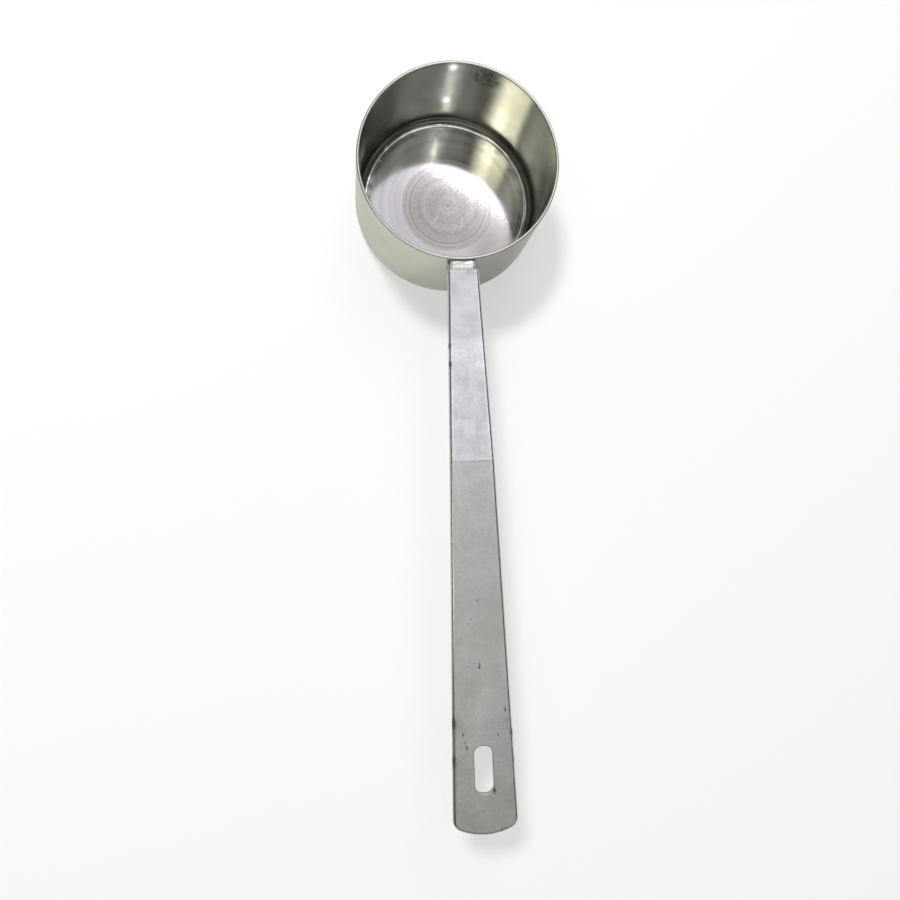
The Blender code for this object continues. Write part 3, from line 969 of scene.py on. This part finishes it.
rough = ease(tree, crust, 0.3, 0.7, 0.24, 0.46)
surface = embossed(tree, total(tree, crust, ripple), 0.4, 0.00008)
finish_steel(tree, shader, colour, rough, surface)
bead.data.materials.append(weld_steel)
foot_bead.data.materials.append(weld_steel)
finish_part(bead, "weld_bead_top")
finish_part(foot_bead, "weld_bead_foot")


# Table, light and camera
# A white table in a grey room, lit from its ceiling: window lights behind the cup, broad soft panels
# over the cup and the handle, warm lamps on the left, and small bulbs that glint in the cup.

TABLE_SIZE = 6
TABLE_PAINT = (0.93, 0.93, 0.93, 1)
TABLE_GLOW = 0.50
PALE_WALLS = (0.75, 0.75, 0.74, 1)
DARK_WALLS = (0.085, 0.085, 0.08, 1)
GREY_CEILING = (0.17, 0.17, 0.16, 1)
PALE_BEHIND = (0.50, 0.50, 0.49, 1)
CEILING = 1.2
DAYLIGHT = (0.98, 0.97, 1.0)
BULB = (1.0, 1.0, 0.97)
CAMERA_PLACE = (-0.03623, -0.10793, 0.30889)
CAMERA_TURN = (4.1906, -6.1741, -2.4220)
FOCAL_LENGTH = 36
CLIP_START = 0.01

bpy.ops.object.select_all(action="DESELECT")
bpy.ops.mesh.primitive_plane_add(size=TABLE_SIZE, location=(0, 0, 0))
table = bpy.context.object
table.name = "table"
table_white = bpy.data.materials.new("table_white")
table_white.use_nodes = True
tree = table_white.node_tree
tree.nodes.remove(tree.nodes["Principled BSDF"])
path = node(tree, "ShaderNodeLightPath")
shown = maths(tree, "MAXIMUM", path.outputs["Is Camera Ray"], path.outputs["Is Glossy Ray"])
shown = maths(tree, "MAXIMUM", shown, path.outputs["Is Transmission Ray"])
matte = node(tree, "ShaderNodeBsdfDiffuse", {"Color": TABLE_PAINT})
glow = node(tree, "ShaderNodeEmission", {"Color": (1, 1, 1, 1), "Strength": 1.0})
shown = product(tree, shown, TABLE_GLOW)
paint = node(tree, "ShaderNodeMixShader", {0: shown, 1: matte.outputs[0], 2: glow.outputs[0]})
clear = node(tree, "ShaderNodeBsdfTransparent")
backfacing = node(tree, "ShaderNodeNewGeometry").outputs["Backfacing"]
both = node(tree, "ShaderNodeMixShader", {0: backfacing, 1: paint.outputs[0], 2: clear.outputs[0]})
tree.links.new(both.outputs[0], tree.nodes["Material Output"].inputs["Surface"])
table.data.materials.append(table_white)

room = bpy.data.worlds.new("room")
bpy.context.scene.world = room
room.use_nodes = True
tree = room.node_tree
direction = node(tree, "ShaderNodeTexCoord").outputs["Generated"]
parts = node(tree, "ShaderNodeSeparateXYZ", {0: direction})
up = parts.outputs["Z"]
walls = blend(tree, ease(tree, up, 0.08, 0.34), PALE_WALLS, DARK_WALLS)
walls = blend(tree, ease(tree, up, 0.60, 0.95), walls, GREY_CEILING)
behind = product(tree, ease(tree, parts.outputs["Y"], 0.25, 0.6), ease(tree, up, 0.85, 0.6))
walls = blend(tree, behind, walls, PALE_BEHIND)
tree.links.new(walls, tree.nodes["Background"].inputs["Color"])


def panel(name, lean_x, lean_y, width, depth, turn, brightness, colour, drop=0.0):
    """Soft light facing down, hung a drop below the ceiling, its place and size in shares of its height."""
    height = CEILING - drop
    bpy.ops.object.light_add(
        type="AREA",
        location=(lean_x * height, lean_y * height, height),
        rotation=(0, 0, math.radians(turn)),
    )
    light = bpy.context.object
    light.name = name
    light.data.shape = "RECTANGLE"
    light.data.size = width * height
    light.data.size_y = depth * height
    light.data.energy = brightness * math.pi * light.data.size * light.data.size_y
    light.data.color = colour
    light.visible_camera = False
    return light


# Each light has its lean to the right and to the back, its width and depth, its turn, its brightness
# and its colour. A small lamp also has a drop, because a broad panel at its own height would hide it.
panel("window", 0.2541, 0.5411, 0.46, 0.42, -34.6, 2.3, (0.97, 0.95, 1.0))
panel("back_window", 0.15, 0.95, 0.50, 0.45, 0, 1.8, DAYLIGHT)
panel("ceiling_back", 0.08, 0.345, 0.40, 0.21, 0, 0.65, DAYLIGHT)
panel("ceiling_middle", 0.105, 0.08, 0.41, 0.32, 0, 1.45, DAYLIGHT)
panel("ceiling_front", 0.12, -0.33, 0.15, 0.52, 0, 0.60, (1.0, 1.0, 0.98))
panel("ceiling_dim", 0.18, -0.33, 0.66, 0.50, 0, 0.22, (1.0, 1.0, 0.95))
panel("ceiling_left", -0.47, 0.24, 0.34, 0.50, 0, 0.40, (1.0, 1.0, 0.88))
panel("tube", 0.085, -0.47, 0.022, 0.20, 10, 0.75, (1.0, 1.0, 0.95), 0.02)
panel("warm_lamp", -0.431, -0.255, 0.30, 0.34, 30, 2.15, (1.0, 0.98, 0.74))
panel("left_lamp", -0.400, 0.10, 0.05, 0.14, 0, 0.62, (1.0, 1.0, 0.92), 0.02)
panel("warm_core", -0.345, -0.262, 0.08, 0.12, 20, 2.75, (1.0, 0.99, 0.86), 0.02)
panel("bulb_by_rim", 0.150, -0.536, 0.018, 0.018, 0, 34.0, BULB, 0.04)
panel("bulb_by_wall", 0.129, -0.460, 0.018, 0.018, 0, 22.0, BULB, 0.04)
panel("bulb_by_floor", 0.116, -0.408, 0.018, 0.018, 0, 30.0, BULB, 0.04)
table_lamp = panel("table_lamp", -0.23, 0.35, 0.16, 0.16, 0, 105.0, (1.0, 0.995, 0.985))
table_lamp.visible_glossy = False

bpy.ops.object.camera_add(
    location=CAMERA_PLACE,
    rotation=[math.radians(turn) for turn in CAMERA_TURN],
)
camera = bpy.context.object
camera.data.lens = FOCAL_LENGTH
camera.data.sensor_width = FOCAL_LENGTH
camera.data.clip_start = CLIP_START
bpy.context.scene.camera = camera
bpy.context.scene.view_settings.view_transform = "Standard"

bpy.context.view_layer.update()
